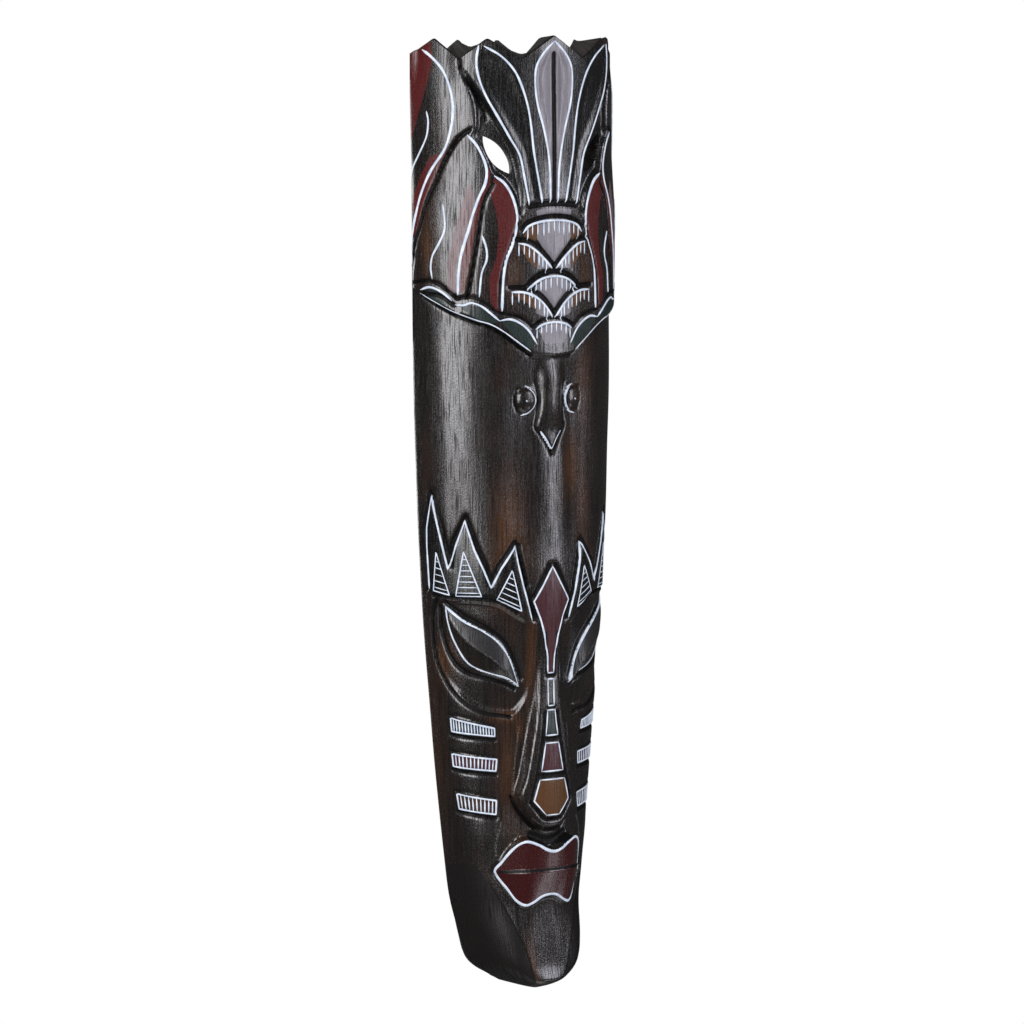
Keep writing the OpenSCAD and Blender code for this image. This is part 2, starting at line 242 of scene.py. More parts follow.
CUTS_MIDDLE = [
    ([(-20, 400.8), (-15.5, 404.6), (-8, 406.7), (0, 407.2), (8, 406.7), (15.5, 404.6), (20, 400.8)], 2.2, 1.1),
    ([(-17, 371), (-11.8, 375.2), (-6.3, 377.8), (0, 378.8), (6.3, 377.8), (11.8, 375.2), (17, 371)], 3.0, 1.3),
    ([(-13, 350.6), (-8, 353.3), (0, 354.6), (8, 353.3), (13, 350.6)], 1.8, 1.0),
    ([(-15.5, 412.4), (-8, 413.4), (0, 413.7), (8, 413.4), (15.5, 412.4)], 3.0, 1.1),
    ([(-0.4, 491), (-0.5, 470), (0, 440), (0, 415)], 2.6, 1.0),
    ([(-1.9, 167), (1.9, 167)], 2.4, 0.9),
    ([(-1.9, 150.2), (1.9, 150.2)], 1.9, 0.9),
    ([(-4, 133.8), (4, 133.8)], 2.6, 0.9),
    ([(-7.2, 114.8), (7.2, 114.8)], 2.9, 0.9),
    ([(-12, 83), (-6, 81), (0, 80), (6, 81), (12, 83)], 5.0, 0.6),
    # The mouth line: a very shallow cut whose near-black line is mostly painted shade
    ([(-31, 63.9), (-20, 64.7), (-8, 65.2), (0, 65.3), (8, 65.2), (20, 64.7), (31, 63.9)], 1.5, 0.1),
]

# Paint colours, each with the outlines that it fills
PAINT_PAIRED = {
    "red": [
        [(-34.5, 427.5), (-28.5, 423.4), (-24, 415.6), (-22, 407), (-22.8, 399), (-25, 392), (-28, 385),
         (-29.6, 375), (-30.3, 358.5), (-33, 358), (-36.5, 364), (-37.2, 375), (-33.5, 386), (-32.2, 397), (-33, 408),
         (-36.5, 420)],
        [(-84, 492), (-77, 496), (-70, 497.5), (-68, 489), (-70.5, 478), (-74, 466), (-79, 452), (-84, 440)],
        [(-63, 440), (-68.5, 431), (-73.4, 420), (-76.5, 410), (-79, 400), (-81.4, 388), (-84, 380), (-84, 404),
         (-79, 416), (-74.5, 428), (-69, 438)],
        [(-57, 451), (-60, 442), (-67.6, 431), (-72.6, 420), (-76, 408), (-78.5, 398), (-77, 396), (-73.8, 404),
         (-70, 416), (-65, 427), (-60, 438)],
        [(-40.5, 438), (-38.3, 430), (-39.3, 424), (-42.5, 417), (-45.3, 409), (-49, 396), (-51, 386), (-52.6, 368),
         (-50, 368), (-48, 380), (-45, 394), (-43, 406), (-40.5, 416), (-36.5, 424), (-36.5, 431)],
    ],
    "pink": [[(-47, 425), (-44.5, 418), (-46, 409), (-49, 399), (-52.4, 388), (-54, 378), (-54, 368), (-58.5, 368),
              (-58, 385), (-54, 402), (-50.5, 415)]],
    "green": [
        [(-72, 367), (-67.7, 370), (-61.4, 367.6), (-56.5, 363.4), (-60, 361.4)],
        [(-53, 361.4), (-46.3, 362), (-41, 360.2), (-35.7, 356), (-32, 353), (-36, 352.6), (-44, 354.8)],
        [(-31, 352.8), (-26, 353.4), (-20.6, 351.3), (-15.2, 347), (-11.4, 341.4), (-14.3, 338.4), (-22, 344)],
    ],
    "ochre": [
        [(-18.5, 397.6), (-14.6, 401.4), (-10.2, 403), (-10.8, 396), (-13, 391.5)],
        [(-21, 392.7), (-16, 391.5), (-11, 388.4), (-10.8, 380), (-16, 384.5)],
        [(-24.5, 367.4), (-18, 367), (-12.2, 365), (-11, 358), (-16.5, 362.5)],
    ],
    "black": [
        BLACK_FIELD,
        ZIGZAG[:-1] + [(-15.5, 201.5), (-21, 201.5), (-31, 207.5), (-42, 209.2), (-58, 209.6), (-70.6, 211)],
        LEAF_IN + MIDDLE_LEAF[::-1],
        LEAF_OUT + LEAF_IN[::-1],
    ],
    # The upper eyelid facet: matt near-black, partly lid paint and partly a painted dull reflection
    "lid": [UPPER_LID + EYE_RIDGE[:0:-1]],
    "shade": [CHEEK_CREASE + [(-14, 0), (-62, 0), (-72, 40), (-66, 66), (-44, 68)]],
}
# Pale paint along sharp edges, as painted highlights: path and width
PAINTED_EDGE_HIGHLIGHTS = [(EYE_RIDGE, 1.0), ([(-18.5, 140), (-21, 122), (-23, 104)], 1.2), ([(-12, 150), (-14.5, 130), (-17, 112)], 1.0),
          ([(-30, 90), (-33, 80), (-33, 72)], 1.2),
          ([(-20.5, 440), (-25, 450), (-32, 463)], 0.9)]
PAINT_MIDDLE = {
    "plum": [
        DIAMOND + mirrored(DIAMOND)[::-1],
        PLUM_BAND + mirrored(PLUM_BAND)[::-1],
    ],
    "green": [NECK + mirrored(NECK)[::-1]],
    "ochre": [LOZENGE + mirrored(LOZENGE)[::-1]],
    "lip": [LIPS],
    # Down the middle of the crown: partly silver paint and partly painted sheen, where the central strip of reflection
    # lies
    "grey_paint_and_sheen": [
        MIDDLE_LEAF[1:] + mirrored(MIDDLE_LEAF)[::-1],
        [(-10.6, 407.6), (-5, 408.4), (0, 408.7), (5, 408.4), (10.6, 407.6), (11.5, 410.4), (0, 411.6), (-11.5, 410.4)],
        [(-10.4, 403), (0, 404), (10.4, 403), (10.8, 396), (5, 388), (0, 383.4), (-5, 388), (-10.8, 396)],
        [(-10.4, 389), (-4, 384), (0, 380), (4, 384), (10.4, 389), (10.4, 380), (5, 380), (0, 381), (-5, 380),
         (-10.4, 380)],
        [(-14, 369), (-6.3, 374.4), (0, 375.2), (6.3, 374.4), (14, 369), (8, 366), (0, 358.6), (-8, 366)],
        [(-11, 365), (-5.6, 360.8), (0, 354.6), (5.6, 360.8), (11, 365), (11, 357), (5, 354.6), (-5, 354.6),
         (-11, 357)],
        [(-10, 348.6), (0, 351.2), (10, 348.6), (6, 341), (-6, 341)],
    ],
}
LADDER_FILLS = ["blue", "plum", "rub"]
# Rubbed and warm brown places: centre, half-width, half-height and strength
RUBS = [(-26, 238, 9, 30, 0.9), (16, 277, 7, 16, 1.0), (24, 255, 6, 28, 0.6), (-12, 176, 3, 26, 0.8),
        (-62, 176, 6, 12, 0.7), (-26, 118, 6, 30, 0.55), (-26, 146, 9, 4, 0.9), (-18, 140, 4, 8, 0.7),
        (-69, 392, 5, 16, 0.6), (-24, 376, 5, 12, 0.5), (22, 376, 6, 14, 0.5), (25, 320, 7, 22, 0.6),
        (-12, 12, 3, 16, 0.7), (-72, 120, 10, 60, 0.25), (-25, 204, 9, 4, 0.6), (-20, 78, 8, 10, 0.3),
        (-4, 105, 7, 12, 0.2), (-48, 385, 3, 18, 0.4), (30, 225, 6, 10, 0.3)]


# The pale silver down the middle of the crown is partly paint and partly painted sheen
PAINTS = {"grey_paint_and_sheen": (0.17, 0.158, 0.18), "red": (0.075, 0.006, 0.006), "pink": (0.13, 0.08, 0.085),
          "green": (0.011, 0.022, 0.02), "ochre": (0.085, 0.034, 0.008), "plum": (0.052, 0.014, 0.018),
          # The eyelid's matt near-black is partly paint and partly a painted dull reflection
          "lip": (0.038, 0.0034, 0.004), "blue": (0.014, 0.02, 0.025), "lid": (0.018, 0.018, 0.019), "shade": (0.0085, 0.0072, 0.0068),
          # The near-black of the cuts is partly real black and partly painted shade
          "black": (0.0032, 0.0034, 0.0034), "stain_and_groove_shade": (0.003, 0.0025, 0.0025),
          # pale along sharp edges: painted highlight
          "painted_edge_highlight": (0.2, 0.2, 0.19)}
# How matt each paint is, from 0 to 1; the others are glossy
MATT_PAINTS = {"stain_and_groove_shade": 1.0, "shade": 0.95, "grey_paint_and_sheen": 0.5, "red": 0.5, "pink": 0.5, "green": 0.6, "ochre": 0.6,
               "plum": 0.6, "blue": 0.6, "lid": 0.6}


# ---------------------------------------------------------------- relief

# Cross-sections of the carved surface away from the nose: height, then (distance from the middle, depth) pairs
SECTIONS = [
    (0, [(0, 0), (60, 0)]),
    (10, [(0, 3.4), (8, 3.4), (13, 2.8), (18, 1.6), (24, 0.4)]),
    (22, [(0, 4.2), (10, 4.2), (17, 3.6), (26, 2), (36, 0.6)]),
    (36, [(0, 5.2), (14, 5), (23, 3.6), (33, 1.1), (44, 0)]),
    (47, [(0, 6), (17, 5.8), (28, 3), (38, 0.4), (48, 0)]),
    (58, [(0, 5.6), (20, 5.2), (32, 2.8), (42, 0.3), (52, 0)]),
    (68, [(0, 4.5), (26, 4.2), (35, 2.6), (43, 0.4), (52, 0)]),
    (84, [(0, 5.5), (14, 5.2), (24, 5), (34, 3.4), (43, 0.6), (51, 0)]),
    (100, [(0, 8), (22, 8), (28, 7.6), (34, 5.6), (44, 2), (52, 0.1), (58, 0)]),
    (125, [(0, 8), (20, 8), (27, 8), (34, 6.2), (44, 2.6), (52, 0.4), (58, 0)]),
    (146, [(0, 7.5), (18, 7.5), (26, 7), (34, 5), (45, 2.2), (54, 0.3), (60, 0)]),
    (165, [(0, 6), (14, 5.4), (24, 4.4), (40, 2.2), (52, 0.4), (60, 0)]),
    (190, [(0, 3.5), (12, 3), (24, 2.4), (40, 1.2), (54, 0.2), (60, 0)]),
    (207, [(0, 1), (10, 1.6), (24, 1.2), (34, 1.4), (52, 0.2), (60, 0)]),
    (225, [(0, 1.2), (8, 1.4), (14, 1.7), (22, 1.5), (36, 1), (52, 0.3), (60, 0)]),
    (250, [(0, 1.8), (8, 2.2), (15, 3.8), (22, 3.6), (36, 1.6), (52, 0.6), (60, 0)]),
    (284, [(0, 2), (8, 2.4), (14, 4.2), (22, 4.4), (36, 2.2), (50, 1), (60, 0.3)]),
    (312, [(0, 3), (9, 4.4), (16, 5), (24, 4.2), (36, 2.2), (50, 1), (62, 0.3)]),
    (335, [(0, 2.4), (10, 3.2), (20, 3.2), (36, 2.2), (50, 1.2), (62, 0.4)]),
    (372, [(0, 1.8), (20, 2), (50, 1.4), (70, 0.6)]),
]
NOSE_FRONT = [(84, 2.2), (92, 1.2), (102, 0.8), (130, 1.5), (150, 2.6), (170, 3.2), (186, 2.4), (202, 1.2), (220, 0.8)]


def section_table(step_t=0.5, step_z=1.0):
    """The sections lofted over the whole front, as a smooth table of depth by (z, t)."""
    t = np.arange(0, 90, step_t)
    z = np.arange(0, HEIGHT + step_z, step_z)
    rows = np.array([np.interp(t, *np.array(pairs, float).T) for _, pairs in SECTIONS])
    levels = np.array([level for level, _ in SECTIONS], float)
    table = np.array([np.interp(z, levels, column) for column in rows.T]).T
    for axis, sigma in ((0, 3.0 / step_z), (1, 1.3 / step_t)):
        n = int(3 * sigma)
        kernel = np.exp(-0.5 * (np.arange(-n, n + 1) / sigma) ** 2)
        kernel /= kernel.sum()
        pad = [(n, n) if a == axis else (0, 0) for a in (0, 1)]
        mode = "reflect" if axis else "edge"
        table = np.apply_along_axis(lambda v: np.convolve(v, kernel, "valid"), axis, np.pad(table, pad, mode=mode))
    return table, step_t, step_z


SECTION_TABLE = section_table()


def section_depth(t, z):
    table, step_t, step_z = SECTION_TABLE
    i = np.clip(z / step_z, 0, table.shape[0] - 1.001)
    j = np.clip(t / step_t, 0, table.shape[1] - 1.001)
    i0, j0 = i.astype(int), j.astype(int)
    u, v = i - i0, j - j0
    return ((table[i0, j0] * (1 - v) + table[i0, j0 + 1] * v) * (1 - u)
            + (table[i0 + 1, j0] * (1 - v) + table[i0 + 1, j0 + 1] * v) * u)


def hand_waver(s, z):
    """The slow unevenness that a gouge and sandpaper leave, a fraction of a millimetre."""
    return (0.16 * np.sin(s / 7.3 + 1.7 * np.sin(z / 41)) * np.sin(z / 23 + 0.6)
            + 0.09 * np.sin(s / 3.1 + z / 37 + 2) * np.sin(z / 15 + s / 11))


FOOT_ROUND = 15.0
EDGE_T = 84.0


def lips_depth(s, z):
    top = along([(0, 74.6), (4.6, 75.8), (9.5, 78.6), (15.3, 80.5), (20, 79), (24.6, 75), (29.5, 69.3), (33.5, 63.5)],
                np.abs(s))
    foot = along([(0, 51.4), (5, 50.6), (10.5, 47.6), (15, 46.3), (20, 48.6), (25.5, 54.6), (33.5, 63.5)], np.abs(s))
    mouth = 64.5 - 1.0 * smooth(8, 33, np.abs(s))
    upper = np.clip((z - mouth) / np.maximum(top - mouth, 1), 0, 1.2)
    lower = np.clip((mouth - z) / np.maximum(mouth - foot, 1), 0, 1.2)
    corner = smooth(12, 35, np.abs(s))
    above = smooth(-0.3, 1.5, z - mouth)
    inward = above * 1.3 * (1 - upper) * (1 - corner) + lower * (4.2 - 3.2 * corner)
    return -0.8 + 4.3 * corner + inward


def relief(s, z):
    """How far the carved surface lies under the smooth front, in millimetres."""
    t = np.abs(s)
    depth = section_depth(t, z)
    nose = signed(s, z, spline(NOSE, 1.5, closed=True))
    nose_front = along(NOSE_FRONT, np.clip(z, 84, 220)) + 0.004 * t ** 2
    depth += (nose_front - depth) * smooth(-0.8, 3.6, nose)
    outer = 1 - 0.7 * smooth(44, 60, t)
    for side in (SOCKET, mirrored(SOCKET)):
        hollow = signed(s, z, spline(side, 2.0, closed=True))
        depth += 2.9 * smooth(0, 3.2, hollow) * smooth(7, 25, t) * outer
    for sign in (-1, 1):
        lid = np.vstack([spline([(sign * a, b) for a, b in path], 1.5)
                         for path in (UPPER_LID[::-1], LOWER_LID)])
        ridge = spline([(sign * a, b) for a, b in EYE_RIDGE], 1.5)
        rim, crest = signed(s, z, lid), distance(s, z, ridge)
        depth -= np.where(rim > 0, 0.6 + 2.6 * rim / np.maximum(rim + crest, 0.1), 0) * outer
    head = smooth(0.5, 7.5, 11 - t) * smooth(292, 302, z) * (1 - smooth(322, 336, z))
    depth -= head * (0.6 + 2.0 * smooth(294, 312, z))
    dome = np.hypot(t - 15.5, z - 311.7) / 6.4
    depth -= 3.0 * np.sqrt(np.clip(1 - dome ** 2, 0, 1))
    mouth = signed(s, z, spline(LIPS, 1.2, closed=True))
    depth += (lips_depth(s, z) - depth) * smooth(-2.2, -0.9, mouth)
    depth += FOOT_ROUND * np.clip(1 - z / 6, 0, 1) ** 1.6
    garland = np.interp(t, [0, 13, 22, 30, 37, 44, 56, 74, 84], [334, 335, 342, 347, 351, 353.5, 358, 367, 371])
    crown = smooth(-0.8, 0.8, z - garland)
    depth *= 1 - crown
    depth += crown * (2.4 * smooth(462, 494, z) * smooth(48, 60, t)
                      - 2.0 * smooth(18, 46, t) * (1 - smooth(404, 446, z)))
    for side in both([BLACK_FIELD]):
        depth += 3.0 * smooth(-0.6, 2.4, signed(s, z, spline(side, 1.5, closed=True)))
    for side in both([LEAF_OUT + LEAF_IN[::-1], MIDDLE_LEAF + [(0, 414)]]):
        depth += 0.9 * smooth(0.8, 5, signed(s, z, spline(side, 2, closed=True, straight=True)))
    for path, width, cut in cuts():
        gap = distance(s, z, path, 5)
        depth += cut * (1 - smooth(0, width * 0.62, gap)) + 0.12 * cut * (1 - smooth(0, width * 1.5, gap))
    return (depth + hand_waver(s, z)) * (1 - smooth(EDGE_T - 6, EDGE_T - 2, t))


_CUTS = []


def cuts():
    """Every V-cut as (path, width, depth), left, right and middle."""
    if not _CUTS:
        for path, width, cut in CUTS_PAIRED:
            _CUTS.append((spline(path, 1.5), width, cut))
            _CUTS.append((spline(mirrored(path), 1.5), width, cut))
        for path, width, cut in CUTS_MIDDLE:
            _CUTS.append((spline(path, 1.5), width, cut))
        for side in both([offset(ZIGZAG[:-1], 2.2), offset(ZIGZAG[-4:], 1.8)]):
            _CUTS.append((spline(side, 1.5, straight=True), 2.9, 1.2))
        for side in both([offset(DIAMOND[:4], -2.0)]):
            _CUTS.append((spline(side, 1.5, straight=True), 2.6, 1.0))
        # The wider cut under each cheek ladder is darkened partly as painted shade
        for corners, _ in LADDERS:
            (x0, z0), (x1, z1), (x2, z2), (x3, z3) = corners
            for side in both([[(x1 - 0.5, z1 - 1.7), (x1 + 8, z1 - 2.9), (x2, z2 - 2)],
                              [(x0 - 2, z0 + 1.8), (x0 + 6, z0 + 1.2), (x3, z3 + 1.4)]]):
                wide = side[0][1] < corners[0][1]
                _CUTS.append((spline(side, 1.5), 2.2 if wide else 1.0, 0.9 if wide else 0.4))
    return _CUTS


def offset(points, gap):
    """The same line moved sideways by gap, to the left of its direction."""
    p = np.array(points, float)
    d = np.gradient(p, axis=0)
    n = np.stack([d[:, 1], -d[:, 0]], -1) / np.linalg.norm(d, axis=1)[:, None]
    return [tuple(q) for q in p - n * gap]


# ---------------------------------------------------------------- the smooth front and its points

# The cross-section's fullness: 2 is an ellipse, and more is squarer
SIDE_POWER, FOOT_POWER = 2.06, 3.5
NODES_8, WEIGHTS_8 = np.polynomial.legendre.leggauss(8)


def arc_length(angle, half):
    """Length round a half ellipse from its front to a parameter angle."""
    a = angle[..., None] * (NODES_8 + 1) / 2
    speed = np.sqrt((half[..., None] * np.cos(a)) ** 2 + (DEPTH * np.sin(a)) ** 2)
    return (speed * WEIGHTS_8).sum(-1) * angle / 2


def arc_angle(t, half):
    """The parameter angle at arc length t."""
    angle = np.clip(t / np.maximum(half, 1), 0, math.pi / 2)
    for _ in range(7):
        speed = np.sqrt((half * np.cos(angle)) ** 2 + (DEPTH * np.sin(angle)) ** 2)
        angle = np.clip(angle - (arc_length(angle, half) - t) / speed, 0, math.pi / 2)
    return angle


def place(x, y, z):
    """Row-frame metres from millimetres across, in front of the wall plane, and above the chin."""
    return np.stack([x * MM, HIGH[1] + y * MM, LOW[2] + z * MM], -1)


def front(s, z, lift=0.0, depth=None):
    """Row-frame points of the carved front at (s, z), raised by lift millimetres."""
    half = along(OUTLINE, z)
    across = np.sin(arc_angle(np.abs(s), half))
    power = SIDE_POWER + (FOOT_POWER - SIDE_POWER) * (1 - smooth(6, 50, z))
    ahead = np.clip(1 - across ** power, 0, 1) ** (1 / power)
    nx, ny = across ** (power - 1) / half, -ahead ** (power - 1) / DEPTH
    size = np.hypot(nx, ny)
    level = smooth(20, 75, z)
    nx, ny = nx / size * level * np.sign(s), ny / size * level - (1 - level)
    if depth is None:
        depth = relief(s, z)
    out = lift - depth
    return place(half * across * np.sign(s) + nx * out, np.minimum(-DEPTH * ahead + ny * out, 0), z)


# ---------------------------------------------------------------- the carved billet

def front_rows():
    """Heights of the grid's courses as fractions, closer together where the carving is fine."""
    runs = [(0, 3, 0.5), (3, 44, 1.1), (44, 262, 0.92), (262, 284, 1.6), (284, 330, 0.95), (330, 500, 0.9)]
    return np.concatenate([np.arange(a, b, step) for a, b, step in runs] + [[500.0]]) / 500.0


def front_columns():
    half = np.concatenate([np.arange(0, 0.93, 0.0116), np.arange(0.93, 0.98, 0.018), [0.985]])
    return np.concatenate([-half[:0:-1], half])


def crown_height(t):
    """The zig-zag top, its points and valleys slightly rounded."""
    return sum(np.interp(np.abs(t + shift), *np.array(CROWN_EDGE, float).T) for shift in (-0.9, 0, 0.9)) / 3


def inner_crown_height(v):
    """The zig-zag on the hollow's side: the same cuts, but left level at one flank."""
    angle = np.clip(np.abs(v) / (1 - RIM_SHARE), 0, 1) * math.pi / 2
    t = arc_length(angle, along(OUTLINE, np.full(len(v), 490.0)))
    level = smooth(46, 52, t) * (v > 0)
    side = 497 - 4 * smooth(72, 84, t)
    return np.minimum(crown_height(t) * (1 - level) + side * level, HEIGHT - 0.8)


# The part of the back grid that lies on the flat rim
RIM_SHARE = 0.24


def back_point(v, z):
    """The back: a flat rim, then the hollow. v runs from -1 at one edge to 1 at the other."""
    half = along(OUTLINE, z)
    rim = np.minimum(RIM_W * (0.7 + 0.3 * z / HEIGHT), half * 0.5)
    inner = half - rim
    reach = np.clip((np.abs(v) - (1 - RIM_SHARE)) / RIM_SHARE, 0, 1)
    angle = np.clip(np.abs(v) / (1 - RIM_SHARE), 0, 1) * math.pi / 2
    full = (DEPTH - WALL) * (0.45 + 0.55 * smooth(HOLLOW_FLOOR, HOLLOW_FULL, z)) * smooth(
        HOLLOW_FLOOR - 4, HOLLOW_FLOOR + 3, z)
    x = np.where(np.abs(v) > 1 - RIM_SHARE, inner + (rim - 1.2) * reach, inner * np.sin(angle))
    chisel = 0.35 * np.sin(v * 34 + 0.8 * np.sin(z / 9)) * np.sin(z / 17 + v * 5) * smooth(0, 1, full / 20)
    y = -np.minimum(full, (full + 1.2) * np.cos(angle) ** 0.9) + chisel * np.cos(angle)
    y = np.where((np.abs(v) < 0.26) & (z > 340) & (z < 440), -full, y)
    return place(x * np.sign(v), np.minimum(y, 0), z)


def zip_chains(a, b, at, bt):
    """Triangles between two chains of vertex numbers, advancing whichever chain lags."""
    faces, i, j = [], 0, 0
    while i < len(a) - 1 or j < len(b) - 1:
        if j == len(b) - 1 or (i < len(a) - 1 and at[i + 1] <= bt[j + 1]):
            faces.append((a[i], a[i + 1], b[j]))
            i += 1
        else:
            faces.append((a[i], b[j + 1], b[j]))
            j += 1
    return faces


def billet_mesh():
    """One closed mesh of the carved, hollowed billet. Returns points, faces and each point's (s, z, back)."""
    u, f = front_columns(), front_rows()
    grid_u, grid_f = np.meshgrid(u, f)
    top_half = along(OUTLINE, np.full(len(u), 490.0))
    top_t = np.abs(u) * arc_length(np.full(len(u), math.pi / 2), top_half)
    z = grid_f * crown_height(top_t)[None, :]
    half = along(OUTLINE, z)
    s = grid_u * arc_length(np.full(z.shape, math.pi / 2), half)
    flat_s, flat_z = s.ravel(), z.ravel()
    points = front(flat_s, flat_z)
    ids = np.arange(z.size).reshape(z.shape)
    faces = []
    quads = np.stack([ids[:-1, :-1], ids[:-1, 1:], ids[1:, 1:], ids[1:, :-1]], -1).reshape(-1, 4)
    faces += [tuple(int(k) for k in q) for q in quads]
    places = [np.stack([flat_s, flat_z, np.zeros(z.size)], -1)]

    # the bevelled lip of the crown
    lip = front(s[-1], z[-1], depth=relief(s[-1], z[-1]) + 1.0)
    lip[:, 2] += 0.7 * MM
    lip_ids = np.arange(len(u)) + len(points)
    points = np.vstack([points, lip])
    places.append(np.stack([s[-1], z[-1], np.full(len(u), 0.6)], -1))
    faces += [(int(ids[-1, i]), int(ids[-1, i + 1]), int(lip_ids[i + 1]), int(lip_ids[i]))
              for i in range(len(u) - 1)]

    # the back
    v = np.concatenate([[-1, -0.88, -0.775], np.linspace(-0.75, 0.75, 81), [0.775, 0.88, 1]])
    g = np.concatenate([np.linspace(0, 0.066, 24), np.linspace(0.072, 0.096, 6), np.linspace(0.11, 1, 64)])
    bz = g[:, None] * inner_crown_height(v)[None, :]
    bv = np.broadcast_to(v[None, :], bz.shape)
    back = back_point(bv.ravel(), bz.ravel())
    back_ids = np.arange(bz.size).reshape(bz.shape) + len(points)
    points = np.vstack([points, back])
    places.append(np.stack([bv.ravel() * 80, bz.ravel(), np.ones(bz.size)], -1))
    quads = np.stack([back_ids[:-1, :-1], back_ids[1:, :-1], back_ids[1:, 1:], back_ids[:-1, 1:]], -1)
    faces += [tuple(int(k) for k in q) for q in quads.reshape(-1, 4)]

    # crown top, flank edges and foot
    faces += [tuple(int(k) for k in q) for q in zip_chains(lip_ids, back_ids[-1], u, v)]
    for column, side in ((0, 1), (-1, -1)):
        front_chain = np.append(ids[:, column], lip_ids[column])
        front_at = np.append(f, 1.001)
        found = zip_chains(front_chain, back_ids[:, column], front_at, g)
        faces += [tuple(int(k) for k in (q if side < 0 else q[::-1])) for q in found]
    foot = [int(k) for k in ids[0]] + [int(k) for k in back_ids[0][::-1]]
    faces.append(tuple(foot[::-1]))
    return points, faces, np.vstack(places)


def mesh_object(name, points, faces, angle=40):
    mesh = bpy.data.meshes.new(name)
    mesh.from_pydata([tuple(p) for p in points], [], faces)
    mesh.validate()
    for face in mesh.polygons:
        face.use_smooth = True
    if angle:
        mesh.set_sharp_from_angle(angle=math.radians(angle))
    obj = bpy.data.objects.new(name, mesh)
    bpy.context.scene.collection.objects.link(obj)
    return obj


def almond_cutter(sign):
    """A long almond-shaped plug, square to the crown's surface, that cuts one piercing."""
    length, width = 24.5, 9.0
    radius = (length ** 2 + width ** 2) / (4 * width)
    side = math.asin(length / 2 / radius)
    ring = []
    for turn in (1, -1):
        for k in range(14):
            a = side * (1 - 2 * k / 14) * turn
            ring.append((turn * (radius * math.cos(a) - radius + width / 2), radius * math.sin(a)))
    s0, z0 = PIERCING_CENTRE
    tilt = math.radians(35)
    s = np.array([sign * (s0 + x * math.cos(tilt) - y * math.sin(tilt)) for x, y in ring])
    z = np.array([z0 + x * math.sin(tilt) + y * math.cos(tilt) for x, y in ring])
    outer = front(s, z, 6, np.zeros(len(s)))
    centre = outer.mean(0)
    inward = front(np.array([sign * s0]), np.array([z0]), -30, np.zeros(1))[0] - centre
    inner = outer + inward
    n = len(ring)
    faces = [(k, (k + 1) % n, n + (k + 1) % n, n + k) for k in range(n)]
    faces += [tuple(range(n))[::-1], tuple(range(n, 2 * n))]
    cutter = mesh_object("piercing_cutter", np.vstack([outer, inner]), faces, None)
    repair_normals(cutter.data)
    return cutter


def repair_normals(mesh):
    work = bmesh.new()
    work.from_mesh(mesh)
    bmesh.ops.recalc_face_normals(work, faces=work.faces)
    work.to_mesh(mesh)
    work.free()


def pierce(obj):
    """Cuts the two almond piercings and applies the cut."""
    cutters = [almond_cutter(1), almond_cutter(-1)]
    for cutter in cutters:
        cut = obj.modifiers.new("piercing", "BOOLEAN")
        cut.operation, cut.solver, cut.object = "DIFFERENCE", "MANIFOLD", cutter
    bpy.context.view_layer.update()
    shape = obj.evaluated_get(bpy.context.evaluated_depsgraph_get())
    mesh = bpy.data.meshes.new_from_object(shape)
    obj.modifiers.clear()
    mesh.materials.clear()
    obj.data = mesh
    for cutter in cutters:
        bpy.data.objects.remove(cutter)


def paint_fields(s, z):
    """Signed distance into each paint colour, by name."""
    fields = {}
    for name in PAINTS:
        fields[name] = np.full(s.shape, -FAR)
    for name, outlines in PAINT_PAIRED.items():
        for side in both(outlines):
            fields[name] = np.maximum(fields[name], signed(s, z, spline(side, 1.5, closed=True, straight=True), 6))
    for name, outlines in PAINT_MIDDLE.items():
        for side in outlines:
            fields[name] = np.maximum(fields[name], signed(s, z, spline(side, 1.2, closed=True, straight=True), 6))
    rub = np.zeros(s.shape)
    for s0, z0, half_s, half_z, strength in RUBS:
        rub = np.maximum(rub, strength * np.exp(-((s - s0) / half_s) ** 2 - ((z - z0) / half_z) ** 2))
    for (corners, _), fill in zip(LADDERS, LADDER_FILLS):
        for side in both([corners]):
            gap = signed(s, z, spline(side, 1.5, closed=True, straight=True), 6)
            if fill == "rub":
                rub = np.maximum(rub, 0.5 * (gap > 0))
            else:
                fields[fill] = np.maximum(fields[fill], gap)
    # Near-black along every cut: partly real black, partly painted shade in the groove
    for path, width, cut in cuts():
        fields["stain_and_groove_shade"] = np.maximum(fields["stain_and_groove_shade"], width * 0.52 - distance(s, z, path, 5))
    # Pale along sharp edges: painted highlights
    for path, width in PAINTED_EDGE_HIGHLIGHTS:
        for side in both([path]):
            fields["painted_edge_highlight"] = np.maximum(fields["painted_edge_highlight"], width / 2 - distance(s, z, spline(side, 1.5), 5))
    fields["rub"] = rub
    return fields


def write_float(mesh, name, values):
    layer = mesh.attributes.new(name, "FLOAT", "POINT")
    layer.data.foreach_set("value", np.asarray(values, np.float32))


def make_mask():
    points, faces, places = billet_mesh()
    obj = mesh_object("carved_mask", points, faces, None)
    repair_normals(obj.data)
    pierce(obj)
    mesh = obj.data
    tree = kdtree.KDTree(len(points))
    for k, p in enumerate(points):
        tree.insert(p, k)
    tree.balance()
    source = np.array([tree.find(v.co)[1] for v in mesh.vertices])
    where = places[source]
    for name, values in paint_fields(where[:, 0], where[:, 1]).items():
        write_float(mesh, name, np.where(where[:, 2] > 0.5, -FAR if name != "rub" else 0, values))
    write_float(mesh, "back", where[:, 2])
    layer = mesh.attributes.new("unrolled", "FLOAT_VECTOR", "POINT")
    layer.data.foreach_set("vector", np.asarray(where, np.float32).ravel())
    for face in mesh.polygons:
        face.use_smooth = True
    mesh.set_sharp_from_angle(angle=math.radians(50))
    return obj


# ---------------------------------------------------------------- raised painted lines

CROSS = [(-1.0, -0.35), (-0.72, 0.12), (-0.3, 0.3), (0.3, 0.3), (0.72, 0.12), (1.0, -0.35)]


